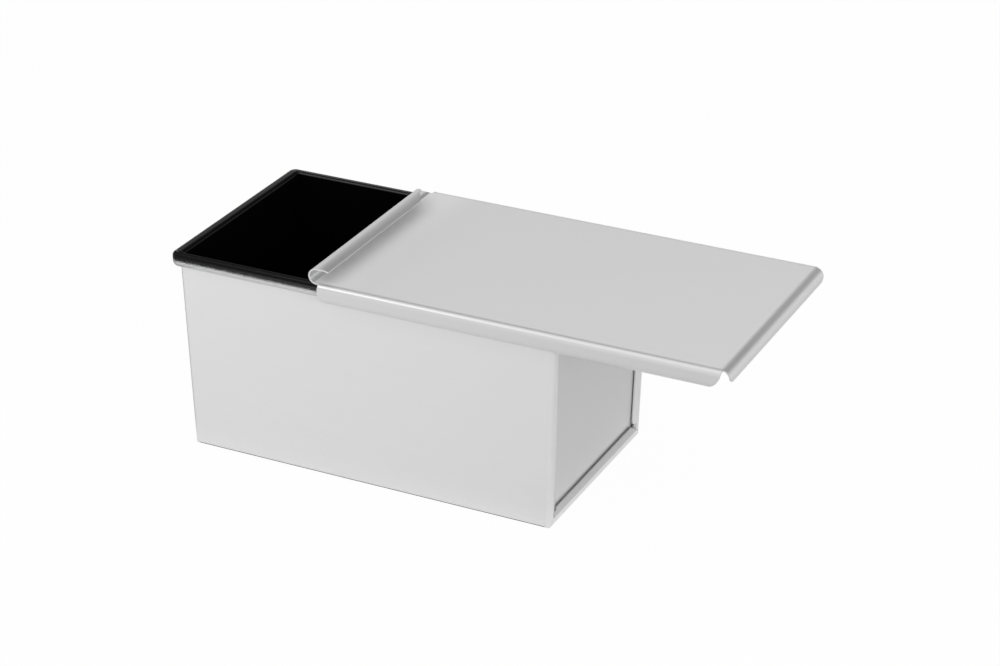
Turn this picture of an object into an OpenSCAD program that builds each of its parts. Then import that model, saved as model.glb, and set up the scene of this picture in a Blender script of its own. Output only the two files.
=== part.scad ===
// Lidded loaf pan: one folded sheet with a rolled, wire-stiffened rim,
// two inset end panels and a lid that slides along the rim on two curled rails.
// Origin: centre of the pan's underside. X along the slide, Y to the back, Z up. Millimetres.

/* [Pan] */
// Outside length at the underside
pan_l = 202.6; // [180:0.2:320]
// Outside width at the underside
pan_w = 112; // [90:1:140]
// Height from the underside to the top of the rim
pan_h = 110; // [80:1:130]
// Outward lean of each wall between the underside and the roll
flare = 2.3; // [1.5:0.1:2.8]
// Sheet thickness of the pan
sheet_t = 0.8; // [0.7:0.05:0.9]
// Outside radius of the long folds and the upright folds
fold_r = 3; // [2.6:0.1:3.4]
// Outside radius of the folds between the underside and the end flanges
end_fold_r = 1.9; // [1.2:0.1:2.6]

/* [Rolled rim] */
// Width of the roll, wall included
rim_w = 4; // [3.8:0.1:4.4]
// Height of the roll
rim_h = 8; // [7:0.1:9]
// Slit between the roll's free edge and the wall
rim_slit = 0.3; // [0.2:0.05:0.4]
// Diameter of the wire inside the roll
wire_d = 2.2; // [1.8:0.1:2.2]

/* [End seams] */
// Width of the upright flanges
seam_w = 8.2; // [7:0.1:10]
// Height of the bottom flange's upright band
hem_low = 4.3; // [3.8:0.1:5]
// Height of the bottom flange's inward-leaning band
hem_high = 3.6; // [3:0.1:4]
// Inward lean of all flanges at their free edges
hem_lean = 1; // [0.6:0.1:1.1]
// Depth of the end panel's face behind the flange faces
panel_in = 2.2; // [2.1:0.1:3]
// Width of the mitre slits in the corners
mitre_gap = 0.3; // [0.2:0.05:0.5]
// Diameter of the relief hole where each mitre ends
relief_d = 2.6; // [1.8:0.1:3]

/* [Lid] */
// Sheet thickness of the lid
lid_t = 0.8; // [0.7:0.05:0.9]
// How far the lid is pulled open in this pose
open_by = 85; // [40:0.2:120]
// Outside radius of the bend from the top into a rail
rail_top_r = 3; // [2.4:0.1:3.2]
// Outside radius of the bend from a rail into its lip
rail_low_r = 4; // [3:0.1:4.4]
// Step from the finger curl's bend to the rails' left end
rail_back = 1.4; // [0.6:0.1:3]
// Reach of the rails' right end past the start of the turned-down end
rail_past = 0.4; // [0.2:0.1:1]
// Radius of the rails' lower left corners
rail_start_r = 5; // [3:0.1:9]
// Radius of the rails' lower right corners
rail_end_r = 9.8; // [6:0.1:10]
// Outside radius of the finger curl's bend
curl_r = 4.2; // [3.8:0.05:4.6]
// Turn of that bend, degrees
curl_turn = 165; // [155:1:172]
// Outside radius of the crowned leg over the bend
leg_r = 14.3; // [10:0.1:24]
// Turn of that leg, degrees
leg_turn = 33; // [20:1:36]
// Step from each rail's outside to the end of the finger curl
curl_in = 2.1; // [1.8:0.1:4]
// Length trimmed off the curl's back corner over the height of its bend
trim_bend = 16; // [4:0.5:18]
// Length trimmed off that corner at the leg's free edge
trim_free = 29.5; // [20:0.5:36]
// Outside radius of the turned-down end
stop_r = 4.5; // [4.4:0.05:5.2]
// Straight height of that end under its bend
stop_leg = 2; // [1:0.1:3]
// Step from each rail's outside to the side of the turned-down end
stop_in = 2.8; // [2.4:0.1:4]
// Radius of the lower corners of the turned-down end
stop_corner_r = 3.5; // [2:0.1:4]

/* [Fits] */
// Height of the lid's underside over the rim
lid_lift = 0.3; // [0.3:0.05:0.5]
// Gap between the rails' lips and the underside of the roll
lip_drop = 0.3; // [0.3:0.05:0.6]
// Gap between the lips' free edges and the side walls
lip_gap = 0.7; // [0.4:0.05:1]
// Gap between the rails' inside faces and the roll
rail_play = 2.8; // [2.4:0.1:3.2]
// Play left at the turned-down end with the lid shut
stop_play = 0.1; // [0.1:0.05:0.5]
// Reach of the lid's flat past the left end of the roll with the lid shut
curl_past = 0.1; // [0.1:0.1:2]
// Gap between the flanges' upper ends and the roll
flange_gap = 0.2; // [0.15:0.05:0.4]

/* [Hidden] */
$fn = 96;
// Overshoot of cutting shapes, and their full span
reach = 30;
far = 400;
// Small offset that lets a rounding circle cross its two planes cleanly
shift = 0.004;
// Small step that keeps a joined edge inside the face it stands on
inside = 0.02;

rim_z = pan_h - rim_h;
slope = flare / rim_z;
draft = atan(slope);
skew = atan(sin(draft));
rim_r = rim_w / 2;
rim_low_r = rim_w - sheet_t;
corner_x = pan_l / 2 + flare - sheet_t;
corner_y = pan_w / 2 + flare - sheet_t;
hem_z = hem_low + hem_high;
crease_w = seam_w * hem_low / hem_z;
flange_z = rim_z - flange_gap;
end_bead_w = rim_w + panel_in;

lid_z = pan_h + lid_lift;
lid_top = lid_z + lid_t;
lid_y = corner_y + rim_w + rail_play + lid_t;
rail_z = rim_z - lip_drop - lid_t;
rail_h = lid_top - rail_z;
lip_y = corner_y + sheet_t + lip_gap;
curl_x = open_by - corner_x - rim_w - curl_past;
curl_z = lid_z + curl_r;
curl_y = lid_y - curl_in;
leg_lean = 180 - curl_turn;
leg_drop = leg_r - curl_r;
rail_x0 = curl_x + rail_back;
stop_x = open_by + corner_x + rim_r + stop_play;
stop_z = lid_top - stop_r;
stop_y = lid_y - stop_in;
lid_x1 = stop_x + stop_r;
rail_x1 = stop_x + rail_past;

pan_tin = [0.80, 0.81, 0.82];
panel_tin = [0.70, 0.71, 0.72];
wire_steel = [0.55, 0.55, 0.57];
lid_tin = [0.86, 0.87, 0.88];

pan_body();
end_panel_left();
end_panel_right();
rim_wire();
lid();

// Extrude a drawing of (y, z) along X between two stations
module along_x(x0, x1) {
    translate([x0, 0, 0])
        rotate([90, 0, 90])
            linear_extrude(x1 - x0)
                children();
}

// Extrude a drawing of (x, z) along Y between two stations
module along_y(y0, y1) {
    translate([0, y1, 0])
        rotate([90, 0, 0])
            linear_extrude(y1 - y0)
                children();
}

module both_x() {
    children();
    mirror([1, 0, 0])
        children();
}

module both_y() {
    children();
    mirror([0, 1, 0])
        children();
}

// Square corner with a quarter circle left in it, for rounding an outside corner
module corner_waste(r) {
    difference() {
        translate([-r, -r])
            square(2 * r);
        translate([shift - r, shift - r])
            circle(r);
    }
}

// Section of the pan's inside or outside: leaning walls, rounded lower corners
module wall_section(half, inset, top, fold) {
    r = fold - inset;
    foot = half - inset + slope * inset;
    head = half - inset + slope * top;
    mid = half - inset + slope * fold - r / cos(draft);
    difference() {
        polygon([[-foot, inset], [foot, inset], [head, top], [-head, top]]);
        for (side = [0, 1])
            mirror([side, 0])
                translate([mid + r, fold - r])
                    mirror([0, 1])
                        corner_waste(r);
    }
}

// Drawing extruded along the leaning edge between a side wall and an end
module along_corner(inset, top) {
    translate([0, pan_w / 2 - inset, 0])
        rotate([-draft, 0, 0])
            translate([pan_l / 2 - inset, 0, 0])
                rotate([0, skew, 0])
                    translate([0, 0, -reach])
                        linear_extrude(top + 2 * reach)
                            children();
}

// The pan's form, taken in from its outside by the inset
module pan_form(inset, top) {
    difference() {
        intersection() {
            along_x(-far / 2, far / 2)
                wall_section(pan_w / 2, inset, top, fold_r);
            along_y(-far / 2, far / 2)
                wall_section(pan_l / 2, inset, top, end_fold_r);
        }
        both_x()
            both_y()
                along_corner(inset, top)
                    corner_waste(fold_r - inset);
    }
}

// Distance from the middle of an end to its mitre line at height z
function mitre_y(z) = pan_w / 2 - seam_w * z / hem_z;

// Opening between the folded flanges of one end with both mitre slits, in (y, z)
module flange_opening() {
    half = mitre_gap / 2;
    head = pan_w / 2 - crease_w + slope * (rim_z + reach);
    side = [
        [mitre_y(hem_low) - half, hem_low],
        [mitre_y(fold_r) - half, fold_r],
        [mitre_y(fold_r) + half, fold_r],
        [mitre_y(hem_low) + half, hem_low],
        [head, rim_z + reach]
    ];
    polygon(concat(side, [for (i = [4:-1:0]) [-side[i][0], side[i][1]]]));
}

// Band of the bottom flange that leans in over the end panel, its ends cut to the mitres
module bottom_band() {
    low = pan_l / 2 + slope * hem_low;
    high = pan_l / 2 + slope * hem_z - hem_lean;
    wide = mitre_y(hem_low) - mitre_gap / 2 - inside;
    slim = mitre_y(hem_z) - mitre_gap / 2;
    intersection() {
        along_y(-pan_w, pan_w)
            polygon([
                [low - sheet_t + inside, hem_low],
                [low - inside, hem_low],
                [high - inside, hem_z],
                [high - sheet_t + inside, hem_z]
            ]);
        along_x(0, far / 2)
            polygon([
                [-wide, hem_low],
                [wide, hem_low],
                [slim, hem_z],
                [-slim, hem_z]
            ]);
    }
}

// Band of an upright flange that leans in over the end panel, from its mitre to the roll
module upright_band() {
    root = 2 * inside - crease_w;
    half = mitre_gap / 2 + inside;
    intersection() {
        along_corner(0, pan_h)
            polygon([
                [-inside, root],
                [inside - sheet_t, root],
                [inside - sheet_t - hem_lean, -seam_w],
                [-inside - hem_lean, -seam_w]
            ]);
        along_x(0, far / 2)
            polygon([
                [mitre_y(0) + half, 0],
                [mitre_y(2 * hem_z) + half, 2 * hem_z],
                [mitre_y(2 * hem_z) + half, flange_z],
                [pan_w, flange_z],
                [pan_w, 0]
            ]);
    }
}

// The leaning bands of one end, a relief hole at each inner corner
module end_bands() {
    difference() {
        union() {
            bottom_band();
            both_y()
                upright_band();
        }
        both_y()
            along_x(0, far / 2)
                translate([mitre_y(hem_z), hem_z])
                    circle(d = relief_d);
    }
}

// Quarter of a sheet bend, its centre at the origin, filling the first quadrant
module quarter_bend(r, sheet) {
    intersection() {
        difference() {
            circle(r);
            circle(r - sheet);
        }
        square(2 * r);
    }
}

// Rolled bead in (u, z): u outward from the wall's inside face, z up from the roll's underside
module bead_section(width) {
    square([sheet_t, rim_h - rim_r]);
    translate([rim_r, rim_h - rim_r])
        mirror([1, 0])
            quarter_bend(rim_r, sheet_t);
    if (width > rim_w) {
        translate([rim_r, rim_h - sheet_t])
            square([width - rim_w, sheet_t]);
        translate([sheet_t + rim_slit, 0])
            square([width - rim_w - rim_slit, sheet_t]);
    }
    translate([width - rim_r, rim_h - rim_r])
        quarter_bend(rim_r, sheet_t);
    translate([width - sheet_t, rim_low_r])
        square([sheet_t, rim_h - rim_r - rim_low_r]);
    intersection() {
        translate([width - rim_low_r, rim_low_r])
            mirror([0, 1])
                quarter_bend(rim_low_r, sheet_t);
        translate([sheet_t + rim_slit, 0])
            square(width);
    }
}

module pan_body() {
    color(pan_tin) {
        difference() {
            pan_form(0, rim_z);
            pan_form(sheet_t, rim_z + reach);
            both_x()
                along_x(pan_l / 2 - fold_r, far / 2)
                    flange_opening();
            both_x()
                translate([corner_x + sheet_t - fold_r, -far / 2, flange_z])
                    cube([far, far, far]);
        }
        both_x()
            end_bands();
        both_y()
            along_x(-corner_x, corner_x)
                translate([corner_y, rim_z])
                    bead_section(rim_w);
        both_x()
            both_y()
                translate([corner_x, corner_y, rim_z])
                    rotate_extrude(angle = 90)
                        bead_section(rim_w);
    }
}

// End panel at the right: plate, lips turned outward to the folds, and the end of the rim roll
module end_panel() {
    face = pan_l / 2 - panel_in;
    color(panel_tin) {
        difference() {
            intersection() {
                pan_form(sheet_t, rim_z);
                along_y(-pan_w, pan_w)
                    polygon([
                        [face - sheet_t, 0],
                        [face + reach, 0],
                        [face + reach + flare, rim_z],
                        [face - sheet_t + flare, rim_z]
                    ]);
            }
            intersection() {
                along_x(0, far / 2)
                    wall_section(pan_w / 2, 2 * sheet_t, rim_z + reach, fold_r);
                along_y(-pan_w, pan_w)
                    polygon([
                        [face, 0],
                        [face + reach, 0],
                        [face + reach, rim_z + reach],
                        [face + slope * (rim_z + reach), rim_z + reach]
                    ]);
            }
            translate([corner_x - panel_in + sheet_t, -far / 2, flange_z])
                cube([far, far, far]);
        }
        along_y(-corner_y, corner_y)
            translate([corner_x - panel_in, rim_z])
                bead_section(end_bead_w);
    }
}

module end_panel_right() {
    end_panel();
}

module end_panel_left() {
    mirror([1, 0, 0])
        end_panel();
}

// Closed loop of wire inside the roll
module rim_wire() {
    color(wire_steel)
        translate([0, 0, pan_h - rim_r]) {
            both_y()
                translate([-corner_x, corner_y + rim_r, 0])
                    rotate([0, 90, 0])
                        cylinder(h = 2 * corner_x, d = wire_d);
            both_x()
                translate([corner_x + rim_r, corner_y, 0])
                    rotate([90, 0, 0])
                        cylinder(h = 2 * corner_y, d = wire_d);
            both_x()
                both_y()
                    translate([corner_x, corner_y, 0])
                        rotate_extrude(angle = 90)
                            translate([rim_r, 0])
                                circle(d = wire_d);
        }
}

// Half of the lid's section over the rim, in (y, z)
module rail_section() {
    translate([0, lid_z])
        square([lid_y - rail_top_r, lid_t]);
    translate([lid_y - rail_top_r, lid_top - rail_top_r])
        quarter_bend(rail_top_r, lid_t);
    translate([lid_y - lid_t, rail_z + rail_low_r])
        square([lid_t, rail_h - rail_top_r - rail_low_r]);
    translate([lid_y - rail_low_r, rail_z + rail_low_r])
        mirror([0, 1])
            quarter_bend(rail_low_r, lid_t);
    translate([lip_y, rail_z])
        square([lid_y - rail_low_r - lip_y, lid_t]);
}

module lid() {
    color(lid_tin) {
        difference() {
            both_y()
                along_x(rail_x0, rail_x1)
                    rail_section();
            along_y(-far / 2, far / 2) {
                translate([rail_x0, rail_z])
                    rotate(180)
                        corner_waste(rail_start_r);
                translate([rail_x1, rail_z])
                    mirror([0, 1])
                        corner_waste(rail_end_r);
            }
            translate([stop_x, -stop_y, rail_z - reach])
                cube([far, 2 * stop_y, far]);
        }
        translate([curl_x, -curl_y, lid_z])
            cube([rail_back, 2 * curl_y, lid_t]);
        finger_curl();
        turned_end();
        core(curl_x, -curl_y, curl_y - trim_free);
        core(rail_x0, -curl_y, curl_y - trim_free);
        core(stop_x, -curl_y, curl_y - trim_free);
    }
}

// Core inside the lid's sheet, across the line at x where two of its portions meet
module core(x, y0, y1) {
    step = 5 * inside;
    translate([x - step, y0 + rail_top_r, lid_z + inside])
        cube([2 * step, y1 - y0 - rail_top_r, lid_t - 2 * inside]);
}

// Finger curl over the lid's left end: a tight bend and a crowned leg, its back corner trimmed
module finger_curl() {
    tip_x = curl_x + leg_drop * sin(leg_lean) + leg_r * sin(leg_turn - leg_lean);
    bend_y = curl_y - trim_bend;
    run = (trim_free - trim_bend) / (tip_x - curl_x);
    start_y = curl_y - lid_t;
    lean = (start_y - bend_y) / (2 * curl_r);
    past = 5 * inside;
    low_x = curl_x - curl_r - lid_t;
    high_x = tip_x + lid_t;
    intersection() {
        along_y(-far / 2, far / 2)
            translate([curl_x, curl_z])
                curl_section();
        translate([0, 0, lid_z - lid_t])
            linear_extrude(4 * curl_r)
                polygon([
                    [low_x, -curl_y],
                    [high_x, -curl_y],
                    [high_x, curl_y - trim_free - run * lid_t],
                    [curl_x + past, bend_y - run * past],
                    [curl_x + past, curl_y + lid_t],
                    [low_x, curl_y + lid_t]
                ]);
        along_x(low_x, high_x)
            polygon([
                [-curl_y - lid_t, lid_z - lid_t],
                [start_y + lean * lid_t, lid_z - lid_t],
                [bend_y - lean * lid_t, lid_z + 2 * curl_r + lid_t],
                [-curl_y - lid_t, lid_z + 2 * curl_r + lid_t]
            ]);
    }
}

// Section of the finger curl about the axis of its bend, in (x, z)
module curl_section() {
    difference() {
        circle(curl_r);
        circle(curl_r - lid_t);
        translate([0, -reach])
            square([reach, 2 * reach]);
        rotate(leg_lean)
            square(reach);
    }
    rotate(leg_lean)
        translate([0, -leg_drop])
            intersection() {
                difference() {
                    circle(leg_r);
                    circle(leg_r - lid_t);
                }
                polygon([[0, 0], [2 * leg_r * tan(leg_turn), 2 * leg_r], [0, 2 * leg_r]]);
            }
}

// End turned down over the rim, its lower corners rounded
module turned_end() {
    foot = stop_z - stop_leg;
    intersection() {
        along_y(-stop_y, stop_y) {
            translate([stop_x, stop_z])
                quarter_bend(stop_r, lid_t);
            translate([lid_x1 - lid_t, foot])
                square([lid_t, stop_leg]);
        }
        along_x(stop_x, lid_x1 + lid_t)
            difference() {
                translate([-stop_y, foot])
                    square([2 * stop_y, reach]);
                for (side = [0, 1])
                    mirror([side, 0])
                        translate([stop_y, foot])
                            mirror([0, 1])
                                corner_waste(stop_corner_r);
            }
    }
}
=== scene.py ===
import math
import bpy
from mathutils import Matrix, Vector

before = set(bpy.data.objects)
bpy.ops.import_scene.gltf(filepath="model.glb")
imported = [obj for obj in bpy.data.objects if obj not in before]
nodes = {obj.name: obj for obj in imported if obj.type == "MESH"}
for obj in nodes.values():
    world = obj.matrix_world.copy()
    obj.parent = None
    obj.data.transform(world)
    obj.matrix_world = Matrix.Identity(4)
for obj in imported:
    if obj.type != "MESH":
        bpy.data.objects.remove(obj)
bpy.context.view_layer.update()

print("frame loaded:", sorted(nodes))


# shared helpers

noiseSpan = (0.3, 0.7)  # a noise texture's values lie nearly all in it


def hexColour(text):
    # sRGB hex to linear
    out = []
    for i in (0, 2, 4):
        c = int(text[i:i + 2], 16) / 255
        out.append(c / 12.92 if c <= 0.04045 else ((c + 0.055) / 1.055) ** 2.4)
    return (*out, 1.0)


def scaled(colour, gain):
    return (*(c * gain for c in colour[:3]), 1.0)


def addNode(tree, kind, inputs=(), out=0, **settings):
    # One node with its settings and links. An input is a plain value or another node's output.
    # It gives back the output named or numbered by out, or all of them where out is None.
    node = tree.nodes.new("ShaderNode" + kind)
    for name, value in settings.items():
        setattr(node, name, value)
    pairs = inputs.items() if isinstance(inputs, dict) else enumerate(inputs)
    for name, value in pairs:
        if isinstance(value, bpy.types.NodeSocket):
            tree.links.new(value, node.inputs[name])
        else:
            node.inputs[name].default_value = value
    return node.outputs if out is None else node.outputs[out]


def overlap(tree, *masks):
    # 1 where all the masks are 1
    whole = masks[0]
    for mask in masks[1:]:
        whole = addNode(tree, "Math", [whole, mask], operation="MULTIPLY")
    return whole


def newMaterial(name):
    material = bpy.data.materials.new(name)
    material.use_nodes = True
    tree = material.node_tree
    tree.nodes.clear()
    return material, tree, addNode(tree, "TexCoord", out="Object")


def link(obj):
    bpy.context.scene.collection.objects.link(obj)
    return obj


smoothSet = {
    "gap": 0.000003,  # corners closer than this are one
    "flatWeight": 100,  # large faces keep their own direction
}


def smoothBends(node, angle, s):
    # the loose triangles are merged and split again at true edges, so bends shade as curves
    weld = node.modifiers.new("weld", "WELD")
    weld.merge_threshold = s["gap"]
    split = node.modifiers.new("trueEdges", "EDGE_SPLIT")
    split.split_angle = math.radians(angle)
    split.use_edge_sharp = False
    flats = node.modifiers.new("flats", "WEIGHTED_NORMAL")
    flats.mode = "FACE_AREA"
    flats.weight = s["flatWeight"]
    for face in node.data.polygons:
        face.use_smooth = True


def dress(name, material, angle):
    node = nodes[name]
    node.data.materials.clear()
    node.data.materials.append(material)
    smoothBends(node, angle, smoothSet)


# camera

cameraSet = {
    "lens": 96.7257,  # mm
    "sensor": 36,  # mm wide
    "clip": (0.05, 30),
    "azimuth": 25.909,
    "elevation": 26.178,
    "roll": 0.133,
    "distance": 1.374535,
    "target": (0, 0, 0.055),
    "slide": (0.0423926, 0.0054224),  # right and up in the picture plane
}


def makeCamera(s):
    data = bpy.data.cameras.new("photoCamera")
    data.lens = s["lens"]
    data.sensor_width = s["sensor"]
    data.clip_start, data.clip_end = s["clip"]
    camera = link(bpy.data.objects.new("photoCamera", data))
    a, e, r = (math.radians(s[k]) for k in ("azimuth", "elevation", "roll"))
    back = Vector((math.sin(a) * math.cos(e), -math.cos(a) * math.cos(e), math.sin(e)))
    right = Vector((0, 0, 1)).cross(back).normalized()
    up = back.cross(right)
    across = right * math.cos(r) + up * math.sin(r)
    upright = up * math.cos(r) - right * math.sin(r)
    place = Vector(s["target"]) + back * s["distance"]
    place += across * s["slide"][0] + upright * s["slide"][1]
    turn = Matrix((across, upright, back)).transposed().to_4x4()
    camera.matrix_world = Matrix.Translation(place) @ turn
    bpy.context.scene.camera = camera


makeCamera(cameraSet)
print("camera placed")


# the bare sheet metal, which all four sheets share

marksSet = {
    "detail": 3.0,
    "roughness": 0.6,
    "pale": 1.015,  # gain of the colour between the marks
    "bump": 0.02,
    "depth": 0.000002,
    "hazeScale": 30.0,  # handling haze, about 30 mm wide
    "hazeDetail": 2.0,
    "haze": (-0.01, 0.01),  # what it adds to the roughness
}


def bareSheet(tree, place, sheet, s):
    # Aluminised steel sheet, cold rolled: satin, with soft wide highlights and faint rolling marks.
    stretched = addNode(tree, "Mapping", {"Vector": place, "Scale": sheet["marks"]})
    marks = addNode(tree, "TexNoise", {
        "Vector": stretched, "Scale": 1.0, "Detail": s["detail"], "Roughness": s["roughness"]})
    between = addNode(tree, "MapRange", [marks, *noiseSpan, 0.0, 1.0])
    dark = hexColour(sheet["metal"])
    pale = scaled(dark, s["pale"])
    colour = addNode(tree, "Mix", {0: between, 6: dark, 7: pale}, 2, data_type="RGBA")
    grain = addNode(tree, "MapRange", [
        marks, *noiseSpan, sheet["roughness"], sheet["roughness"] + sheet["grain"]])
    clouds = addNode(tree, "TexNoise", {
        "Vector": place, "Scale": s["hazeScale"], "Detail": s["hazeDetail"]})
    haze = addNode(tree, "MapRange", [clouds, *noiseSpan, *s["haze"]])
    rough = addNode(tree, "Math", [grain, haze], operation="ADD")
    normal = addNode(tree, "Bump", {"Strength": s["bump"], "Distance": s["depth"], "Height": marks})
    return colour, rough, normal


# the pan's folded sheet and its end panels

panSet = {
    "lean": 2.3 / 102,  # of the walls, mm outward a mm of height
    "rollUnderside": 0.102,
    "midBottom": 0.0004,  # middle of the bottom's sheet
    "midWidth": 0.0556,  # middle of the side wall's sheet at the underside
    "midLength": 0.0986,  # middle of the end panel's sheet at the underside
    "sheetAngle": 24,  # sharper edges stay edges

    "coating": "060606",
    "coatGloss": 0.12,  # specular level of the coat
    "coatRoughness": (0.13, 0.23),
    "pebbleScale": 1800.0,  # pebbles of about 0.5 mm
    "pebbleDetail": 2.0,
    "pebbleBump": 0.2,
    "pebbleDepth": 0.0001,

    "coatFull": 0.1078,  # the coating is closed above this height on the roll
    "coatEdge": 0.1044,  # and broken up into specks down to here
    "dustGone": 0.1026,  # its last overspray
    "dustFade": 0.001,
    "cover": (0.34, 0.80),  # covered share at coatEdge and at coatFull
    "thinned": 0.4,  # factor on that share at dustGone
    "speckScale": 2600.0,  # specks of about 0.4 mm
    "speckDetail": 2.0,
    "speckRoughness": 0.7,
    "speckEdge": (-0.04, 0.04),  # how softly a speck ends

    "shoulder": 0.0580,  # middle of the smooth strip, from the pan's middle
    "shoulderFade": (0.0008, 0.0012),  # from there to both sides
    "shoulderRise": (0.1086, 0.1090),  # the height where it sets in
    "shoulderGloss": 0.9,  # specular level where the coat has run smooth

    "swellOut": 0.0015,  # the swell has its full height this far outside the wall
    "swellAbove": (0.1066, 0.1080, 0.0, -0.0014),  # from height to height, fall to fall
    "swellBelow": (0.1026, 0.1052, -0.0009, 0.0),

    "hemEnd": 0.0998,  # the band lies outside this distance from the middle
    "hemWidth": 0.0510,  # half of it
    "hemLow": (0.0038, 0.0046),
    "hemTop": 0.0085,
    # painted shade: the hem band's colour is the metal's times this
    "hemShadeTone": 0.74,
}
bodySheetSet = {
    "metal": "E6E6E6",
    "metallic": 0.65,
    "roughness": 0.30,
    "grain": 0.012,
    # rolling marks about 60 mm long along x and 0.5 mm wide, coarser than the real 0.05 mm
    "marks": (16, 1900, 1900),
}
shadedPanelSheetSet = {
    # painted shade: a darker copy of the body's sheet colour, for the shade the end panels stand in
    "metal": "D4D4D4",
    "metallic": 0.70,
    "roughness": 0.29,
    "grain": 0.006,
    "marks": (1900, 16, 1900),  # as on the body, but along y
}


def coatMask(tree, place, farX, farY, z, s):
    # 1 where the black coat is: the pan's inside and the top of the roll
    height = addNode(tree, "Math", [z, s["rollUnderside"]], operation="MINIMUM")
    lean = addNode(tree, "Math", [height, s["lean"]], operation="MULTIPLY")
    fromSide = addNode(tree, "Math", [farY, lean], operation="SUBTRACT")
    fromEnd = addNode(tree, "Math", [farX, lean], operation="SUBTRACT")
    inY = addNode(tree, "Math", [fromSide, s["midWidth"]], operation="LESS_THAN")
    inX = addNode(tree, "Math", [fromEnd, s["midLength"]], operation="LESS_THAN")
    over = addNode(tree, "Math", [z, s["midBottom"]], operation="GREATER_THAN")
    inside = overlap(tree, inY, inX, over)
    dust = addNode(tree, "TexNoise", {
        "Vector": place, "Scale": s["speckScale"], "Detail": s["speckDetail"],
        "Roughness": s["speckRoughness"]})
    closing = addNode(tree, "MapRange", [z, s["coatEdge"], s["coatFull"], *s["cover"]])
    thinning = addNode(tree, "MapRange", [z, s["dustGone"], s["coatEdge"], s["thinned"], 1.0])
    cover = addNode(tree, "Math", [closing, thinning], operation="MULTIPLY")
    beyond = addNode(tree, "Math", [cover, dust], operation="SUBTRACT")
    specks = addNode(tree, "MapRange", [beyond, *s["speckEdge"], 0.0, 1.0])
    ending = addNode(tree, "MapRange", [
        z, s["dustGone"] - s["dustFade"], s["dustGone"], 0.0, 1.0])
    specks = overlap(tree, specks, ending)
    return addNode(tree, "Math", [inside, specks], operation="MAXIMUM")


def shoulderMask(tree, farY, z, s):
    # the coat has run smooth over the inner shoulder of the long sides' roll
    aside = addNode(tree, "Math", [farY, s["shoulder"]], operation="SUBTRACT")
    aside = addNode(tree, "Math", [aside], operation="ABSOLUTE")
    near = addNode(tree, "MapRange", [aside, *s["shoulderFade"], 1.0, 0.0])
    high = addNode(tree, "MapRange", [z, *s["shoulderRise"], 0.0, 1.0])
    return overlap(tree, near, high)


def rollSwell(tree, farY, z, s):
    # the outer face of the long sides' roll is a little swollen: it falls away above its
    # widest part and below it
    wall = s["midWidth"] + s["lean"] * s["rollUnderside"]
    fromWall = addNode(tree, "Math", [farY, wall], operation="SUBTRACT")
    outside = addNode(tree, "MapRange", [fromWall, 0.0, s["swellOut"], 0.0, 1.0])
    above = addNode(tree, "MapRange", [z, *s["swellAbove"]])
    below = addNode(tree, "MapRange", [z, *s["swellBelow"]])
    fall = addNode(tree, "Math", [above, below], operation="ADD")
    return addNode(tree, "Math", [fall, outside], operation="MULTIPLY")


def hemShadeMask(tree, farX, farY, z, s):
    # painted shade: the upper half of the folded band under each end panel is darkened for the
    # shade it lies in
    end = addNode(tree, "Math", [farX, s["hemEnd"]], operation="GREATER_THAN")
    low = addNode(tree, "MapRange", [z, *s["hemLow"], 0.0, 1.0])
    top = addNode(tree, "Math", [z, s["hemTop"]], operation="LESS_THAN")
    middle = addNode(tree, "Math", [farY, s["hemWidth"]], operation="LESS_THAN")
    return overlap(tree, end, low, top, middle)


def coatedSheet(name, s, sheet):
    # The non-stick coat is a sprayed PTFE type: black, semi-matt, finely pebbled.
    material, tree, place = newMaterial(name)
    x, y, z = addNode(tree, "SeparateXYZ", [place], None)
    farX = addNode(tree, "Math", [x], operation="ABSOLUTE")
    farY = addNode(tree, "Math", [y], operation="ABSOLUTE")
    metal, metalRough, marksNormal = bareSheet(tree, place, sheet, marksSet)
    # painted shade: the hem band's metal is darkened
    hem = hemShadeMask(tree, farX, farY, z, s)
    hemShaded = scaled(hexColour(sheet["metal"]), s["hemShadeTone"])
    metal = addNode(tree, "Mix", {0: hem, 6: metal, 7: hemShaded}, 2, data_type="RGBA")
    coat = coatMask(tree, place, farX, farY, z, s)
    black = hexColour(s["coating"])
    colour = addNode(tree, "Mix", {0: coat, 6: metal, 7: black}, 2, data_type="RGBA")
    pebbles = addNode(tree, "TexNoise", {
        "Vector": place, "Scale": s["pebbleScale"], "Detail": s["pebbleDetail"]})
    coatRough = addNode(tree, "MapRange", [pebbles, *noiseSpan, *s["coatRoughness"]])
    swellNormal = addNode(tree, "Bump", {
        "Strength": 1.0, "Distance": 1.0, "Height": rollSwell(tree, farY, z, s),
        "Normal": marksNormal})
    raised = addNode(tree, "Math", [pebbles, coat], operation="MULTIPLY")
    normal = addNode(tree, "Bump", {
        "Strength": s["pebbleBump"], "Distance": s["pebbleDepth"], "Height": raised,
        "Normal": swellNormal})
    smooth = shoulderMask(tree, farY, z, s)
    shader = addNode(tree, "BsdfPrincipled", {
        "Base Color": colour,
        "Metallic": addNode(tree, "MapRange", [coat, 0.0, 1.0, sheet["metallic"], 0.0]),
        "Roughness": addNode(tree, "Mix", {0: coat, 2: metalRough, 3: coatRough}),
        "Specular IOR Level": addNode(tree, "MapRange", [
            smooth, 0.0, 1.0, s["coatGloss"], s["shoulderGloss"]]),
        "Normal": normal})
    addNode(tree, "OutputMaterial", {"Surface": shader}, None)
    return material


bodySheet = coatedSheet("satinAluminisedSteelWithNonStickCoat", panSet, bodySheetSet)
# painted shade: the end panels' sheet is a darker copy of the body's
shadedPanelSheet = coatedSheet("satinAluminisedSteelPanelShadedWithNonStickCoat", panSet, shadedPanelSheetSet)
dress("pan_body", bodySheet, panSet["sheetAngle"])
dress("end_panel_left", shadedPanelSheet, panSet["sheetAngle"])
dress("end_panel_right", shadedPanelSheet, panSet["sheetAngle"])
print("pan dressed")


# the lid

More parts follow.
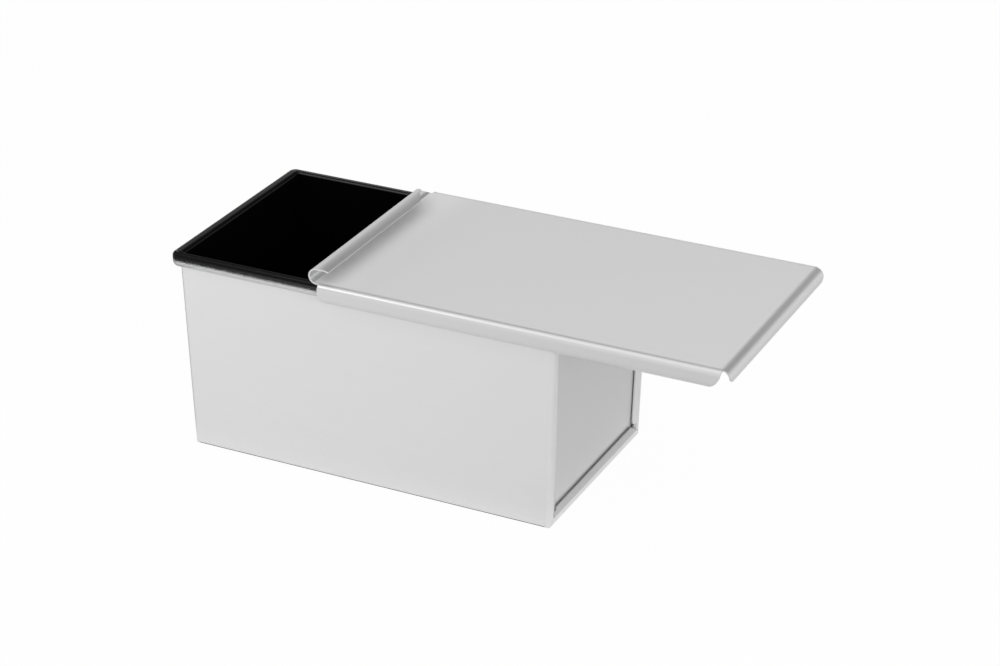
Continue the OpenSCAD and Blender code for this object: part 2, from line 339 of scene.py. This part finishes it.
lidSheetSet = {
    "metal": "DEDEDE",
    "metallic": 0.82,  # at the bends, which the forming rolls have burnished
    "roughness": 0.33,
    "grain": 0.012,
    "gloss": 0.5,  # specular level
    "marks": (16, 1900, 1900),  # as on the body
    "sheetAngle": 24,
    "flatMetallic": 0.05,  # the flat has the matt skin of the sheet
    "flatRoughness": 0.48,
    "flatGloss": 0.2,
    "flatTone": 1.01,  # of the metal's colour
    "flatTop": 0.1113,
    "flatWidth": (0.0611, 0.0631),  # half of it, and how it fades into the bends
    "flatEnd": (0.1890, 0.1910),
    "curlStripPaintedLight": 1.11,  # painted light: the strip beside the curl is made a little brighter, to lift the curl's shadow on it
    "strip": (-0.014, 0.006),  # where it fades out, along x
}


def flatMask(tree, x, y, z, sheet):
    # 1 on the lid's flat, 0 on its bends and on the curl
    farY = addNode(tree, "Math", [y], operation="ABSOLUTE")
    side = addNode(tree, "MapRange", [farY, *sheet["flatWidth"], 1.0, 0.0])
    end = addNode(tree, "MapRange", [x, *sheet["flatEnd"], 1.0, 0.0])
    low = addNode(tree, "Math", [z, sheet["flatTop"]], operation="LESS_THAN")
    return overlap(tree, side, end, low)


def lidSheet(sheet):
    # The same sheet without the coat: matt on the flat, brighter where it was bent.
    material, tree, place = newMaterial("satinAluminisedSteelLid")
    x, y, z = addNode(tree, "SeparateXYZ", [place], None)
    metal, metalRough, marksNormal = bareSheet(tree, place, sheet, marksSet)
    flat = flatMask(tree, x, y, z, sheet)
    # painted light on the strip beside the curl, fading out along x
    tone = addNode(tree, "MapRange", [
        x, *sheet["strip"], sheet["curlStripPaintedLight"], sheet["flatTone"]], interpolation_type="SMOOTHSTEP")
    tone = addNode(tree, "MapRange", [flat, 0.0, 1.0, 1.0, tone])
    matt = addNode(tree, "MapRange", [
        flat, 0.0, 1.0, 0.0, sheet["flatRoughness"] - sheet["roughness"]])
    shader = addNode(tree, "BsdfPrincipled", {
        "Base Color": addNode(tree, "VectorMath", {0: metal, 3: tone}, operation="SCALE"),
        "Metallic": addNode(tree, "MapRange", [
            flat, 0.0, 1.0, sheet["metallic"], sheet["flatMetallic"]]),
        "Roughness": addNode(tree, "Math", [metalRough, matt], operation="ADD"),
        "Specular IOR Level": addNode(tree, "MapRange", [
            flat, 0.0, 1.0, sheet["gloss"], sheet["flatGloss"]]),
        "Normal": marksNormal})
    addNode(tree, "OutputMaterial", {"Surface": shader}, None)
    return material


dress("lid", lidSheet(lidSheetSet), lidSheetSet["sheetAngle"])
print("lid dressed")


# the wire in the roll

wireSet = {
    "steel": "8C8C8E",
    "pale": 1.15,  # gain of the colour between the marks
    "marksScale": 900.0,  # drawing marks, drawn coarser than the real 0.02 mm
    "marksDetail": 3.0,
    "roughness": (0.35, 0.5),
    "angle": 40,
}


def wireMaterial(s):
    # Drawn mild steel wire: plain grey, between satin and bright, with fine marks.
    material, tree, place = newMaterial("drawnSteelWire")
    marks = addNode(tree, "TexNoise", {
        "Vector": place, "Scale": s["marksScale"], "Detail": s["marksDetail"]})
    dark = hexColour(s["steel"])
    pale = scaled(dark, s["pale"])
    shader = addNode(tree, "BsdfPrincipled", {
        "Base Color": addNode(tree, "Mix", {0: marks, 6: dark, 7: pale}, 2, data_type="RGBA"),
        "Metallic": 1.0,
        "Roughness": addNode(tree, "MapRange", [marks, *noiseSpan, *s["roughness"]])})
    addNode(tree, "OutputMaterial", {"Surface": shader}, None)
    return material


dress("rim_wire", wireMaterial(wireSet), wireSet["angle"])
print("wire dressed")


# floor, light and background

floorSet = {
    "size": 6.0,
    "paint": "EFEFEF",
    "white": "FFFFFF",
    "whiteShare": 0.97,  # of the floor seen directly
    "mirrorShare": 0.70,  # of the floor seen in the metal
    # the tone of the second share, from x to x and from tone to tone
    "front": (-0.28, 0.10, 1.0, 0.62),
    "beside": (0.108, 0.200, 0.82, 0.52),  # on the object's right
    "outer": (0.240, 0.320),
    "outerTone": 0.86,
    "foot": (0.1090, 0.1105),  # along the foot of the object's right end
    "footTone": 0.98,
    "left": (-0.125, -0.110),
    "leftTone": 0.22,
    "frontEnds": (-0.075, -0.045),  # from y to y
}


def makeFloor(s):
    # Matt painted studio floor: it runs into the white background without an edge, and gives
    # the metal pale and darker parts to mirror, as cards round a product do.
    bpy.ops.object.select_all(action="DESELECT")
    bpy.ops.mesh.primitive_plane_add(size=s["size"], location=(0, 0, 0))
    floor = bpy.context.object
    floor.name = "paleFloor"
    material, tree, place = newMaterial("paleStudioFloor")
    x, y = addNode(tree, "SeparateXYZ", [place], None)[:2]
    front = addNode(tree, "MapRange", [x, *s["front"]])
    beside = addNode(tree, "MapRange", [x, *s["beside"]])
    beside = addNode(tree, "MapRange", [x, *s["outer"], beside, s["outerTone"]])
    beside = addNode(tree, "MapRange", [x, *s["foot"], s["footTone"], beside])
    beside = addNode(tree, "MapRange", [x, *s["left"], s["leftTone"], beside])
    mirroredTone = addNode(tree, "MapRange", [y, *s["frontEnds"], front, beside])

    path = addNode(tree, "LightPath", out=None)
    seen = path["Is Camera Ray"]
    mirrored = addNode(tree, "Math", [
        path["Is Glossy Ray"], path["Is Transmission Ray"]], operation="MAXIMUM")
    seenShare = addNode(tree, "Math", [seen, s["whiteShare"]], operation="MULTIPLY")
    mirrorShare = addNode(tree, "Math", [mirrored, s["mirrorShare"]], operation="MULTIPLY")
    share = addNode(tree, "Math", [seenShare, mirrorShare], operation="ADD")
    bright = addNode(tree, "Mix", {0: seen, 2: mirroredTone, 3: 1.0})
    white = addNode(tree, "Emission", {"Color": hexColour(s["white"]), "Strength": bright})
    matt = addNode(tree, "BsdfDiffuse", {"Color": hexColour(s["paint"])})
    both = addNode(tree, "MixShader", [share, matt, white])
    addNode(tree, "OutputMaterial", {"Surface": both}, None)
    floor.data.materials.append(material)


worldSet = {
    "white": "FFFFFF",
    "horizon": (-0.1, 0.5, 0.88, 0.90),  # from x to x and from tone to tone
    "stripFrom": 0.42,  # height where the darker strip of wall starts
    "stripDrop": 0.35,  # it starts this much lower to the right, for each unit of x
    "stripEdge": (0.02, 0.09),
    "stripEarly": (-0.30, -0.05, 0.12, 0.0),  # on the left its edge starts this much lower
    "strip": 0.12,
    "front": 0.78,
    "ceiling": 1.00,
    "ceilingBack": (0.78, 0.90),  # the height where it takes over, behind the object
    "ceilingFront": (0.55, 0.90),
    "frontToBack": (0.0, 0.30),  # from y to y
}


def makeWorld(s):
    # white to the camera; to the object a pale studio with a darker strip of wall behind it
    world = bpy.data.worlds.new("paleStudio")
    world.use_nodes = True
    bpy.context.scene.world = world
    tree = world.node_tree
    tree.nodes.clear()
    toward = addNode(tree, "TexCoord", out="Generated")
    x, y, z = addNode(tree, "SeparateXYZ", [toward], None)
    rightward = addNode(tree, "Math", [x, 0.0], operation="MAXIMUM")
    drop = addNode(tree, "Math", [rightward, s["stripDrop"]], operation="MULTIPLY")
    start = addNode(tree, "Math", [s["stripFrom"], drop], operation="SUBTRACT")
    over = addNode(tree, "Math", [z, start], operation="SUBTRACT")
    early = addNode(tree, "MapRange", [x, *s["stripEarly"]])
    edgeFrom, edgeTo = s["stripEdge"]
    edgeFrom = addNode(tree, "Math", [edgeFrom, early], operation="SUBTRACT")

    soft = {"interpolation_type": "SMOOTHSTEP"}
    horizon = addNode(tree, "MapRange", [x, *s["horizon"]], **soft)
    wall = addNode(tree, "MapRange", [over, edgeFrom, edgeTo, horizon, s["strip"]], **soft)
    back = addNode(tree, "MapRange", [z, *s["ceilingBack"], wall, s["ceiling"]], **soft)
    front = addNode(tree, "MapRange", [z, *s["ceilingFront"], s["front"], s["ceiling"]], **soft)
    tone = addNode(tree, "MapRange", [y, *s["frontToBack"], front, back], **soft)
    seen = addNode(tree, "LightPath", out="Is Camera Ray")
    shown = addNode(tree, "Mix", {0: seen, 2: tone, 3: 1.0})
    sky = addNode(tree, "Background", {"Color": hexColour(s["white"]), "Strength": shown})
    addNode(tree, "OutputWorld", {"Surface": sky}, None)


lampSets = [
    {
        "name": "leftSoftbox",
        "place": (-0.43, -0.46, 0.80),
        "aim": (0, 0, 0.10),
        "size": (0.15, 0.15),
        "power": 0.32,
        "mirrored": True,
    },
    {
        "name": "fillSoftbox",
        "place": (1.10, -0.86, 0.50),
        "aim": (0, 0, 0.08),
        "size": (0.8, 0.8),
        "power": 8.0,
        "mirrored": False,
    },
]


def softbox(s):
    lamp = bpy.data.lights.new(s["name"], "AREA")
    lamp.shape = "RECTANGLE"
    lamp.size, lamp.size_y = s["size"]
    lamp.energy = s["power"]
    lampObject = link(bpy.data.objects.new(s["name"], lamp))
    lampObject.location = s["place"]
    away = Vector(s["place"]) - Vector(s["aim"])
    lampObject.rotation_euler = away.to_track_quat("Z", "Y").to_euler()
    lampObject.visible_camera = False
    lampObject.visible_glossy = s["mirrored"]


makeFloor(floorSet)
makeWorld(worldSet)
for lampSet in lampSets:
    softbox(lampSet)
bpy.context.scene.view_settings.view_transform = "Standard"
print("stage lit")
